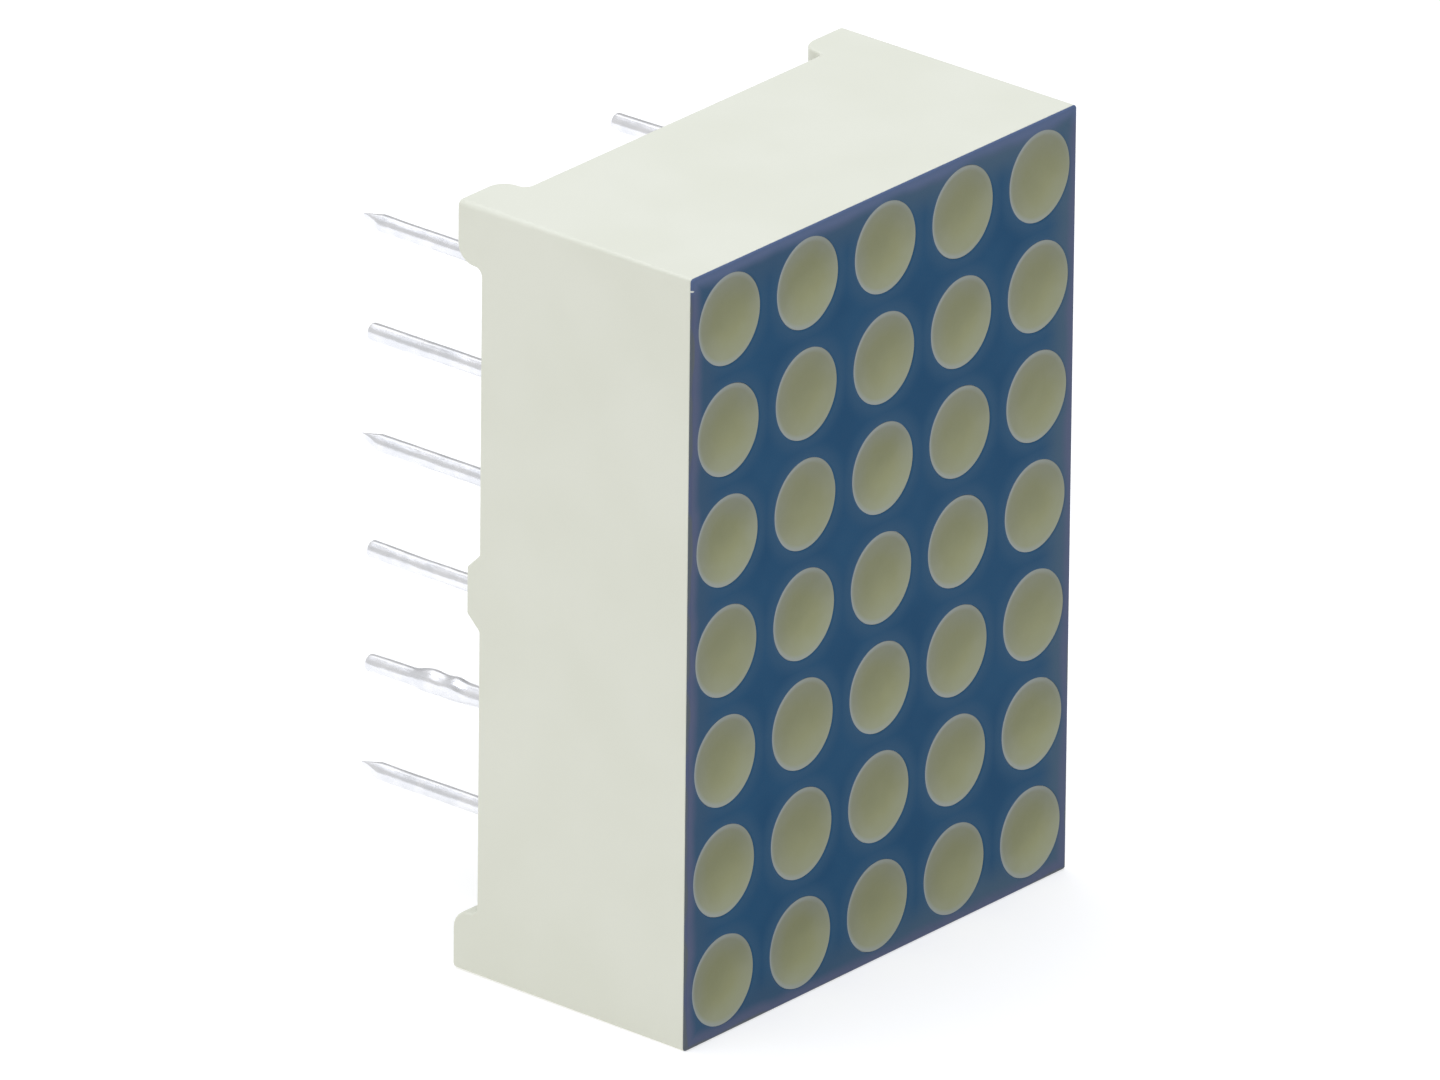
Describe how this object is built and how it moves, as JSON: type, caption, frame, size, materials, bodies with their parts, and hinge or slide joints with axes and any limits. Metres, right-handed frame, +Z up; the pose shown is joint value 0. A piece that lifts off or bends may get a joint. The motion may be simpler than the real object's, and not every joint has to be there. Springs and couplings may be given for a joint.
{
  "type": "led dot matrix",
  "caption": "Small dot matrix display: round resin dots in a blue printed face, a white moulded housing with corner feet, and two rows of tinned pins behind.",
  "frame": {"origin": "centre of the pin grid, on the plane that the corner feet seat on", "axes": "+X to the right across the face, +Y along the pins, away from the face, +Z up along the columns of dots"},
  "size_m": [0.0126, 0.0112, 0.0178],
  "materials": {
    "housing": "moulded white polyester, fine satin surface",
    "face_ink": "screen-printed blue ink, satin",
    "dot_resin": "olive-grey diffusing cast epoxy",
    "potting": "cast epoxy, glossy",
    "board": "glass-epoxy laminate",
    "copper": "copper foil",
    "silver_resin": "silver-filled epoxy",
    "chip": "diced semiconductor",
    "bond_wire": "drawn gold",
    "solder": "tin-lead solder",
    "pin": "hot-dip tinned wire"
  },
  "bodies": {
    "root": {"housing": "housing", "face_ink": "face_ink", "board": "board", "front_copper": "copper", "rear_copper": "copper", "links": "copper", "die_bonds": "silver_resin", "chips": "chip", "bond_wires": "bond_wire", "solder_joints": "solder", "potting": "potting", "dot_r1_c1": "dot_resin", "dot_r1_c2": "dot_resin", "dot_r1_c3": "dot_resin", "dot_r1_c4": "dot_resin", "dot_r1_c5": "dot_resin", "dot_r2_c1": "dot_resin", "dot_r2_c2": "dot_resin", "dot_r2_c3": "dot_resin", "dot_r2_c4": "dot_resin", "dot_r2_c5": "dot_resin", "dot_r3_c1": "dot_resin", "dot_r3_c2": "dot_resin", "dot_r3_c3": "dot_resin", "dot_r3_c4": "dot_resin", "dot_r3_c5": "dot_resin", "dot_r4_c1": "dot_resin", "dot_r4_c2": "dot_resin", "dot_r4_c3": "dot_resin", "dot_r4_c4": "dot_resin", "dot_r4_c5": "dot_resin", "dot_r5_c1": "dot_resin", "dot_r5_c2": "dot_resin", "dot_r5_c3": "dot_resin", "dot_r5_c4": "dot_resin", "dot_r5_c5": "dot_resin", "dot_r6_c1": "dot_resin", "dot_r6_c2": "dot_resin", "dot_r6_c3": "dot_resin", "dot_r6_c4": "dot_resin", "dot_r6_c5": "dot_resin", "dot_r7_c1": "dot_resin", "dot_r7_c2": "dot_resin", "dot_r7_c3": "dot_resin", "dot_r7_c4": "dot_resin", "dot_r7_c5": "dot_resin", "pin_1": "pin", "pin_2": "pin", "pin_3": "pin", "pin_4": "pin", "pin_5": "pin", "pin_6": "pin", "pin_7": "pin", "pin_8": "pin", "pin_9": "pin", "pin_10": "pin", "pin_11": "pin", "pin_12": "pin"}
  },
  "joints": []
}
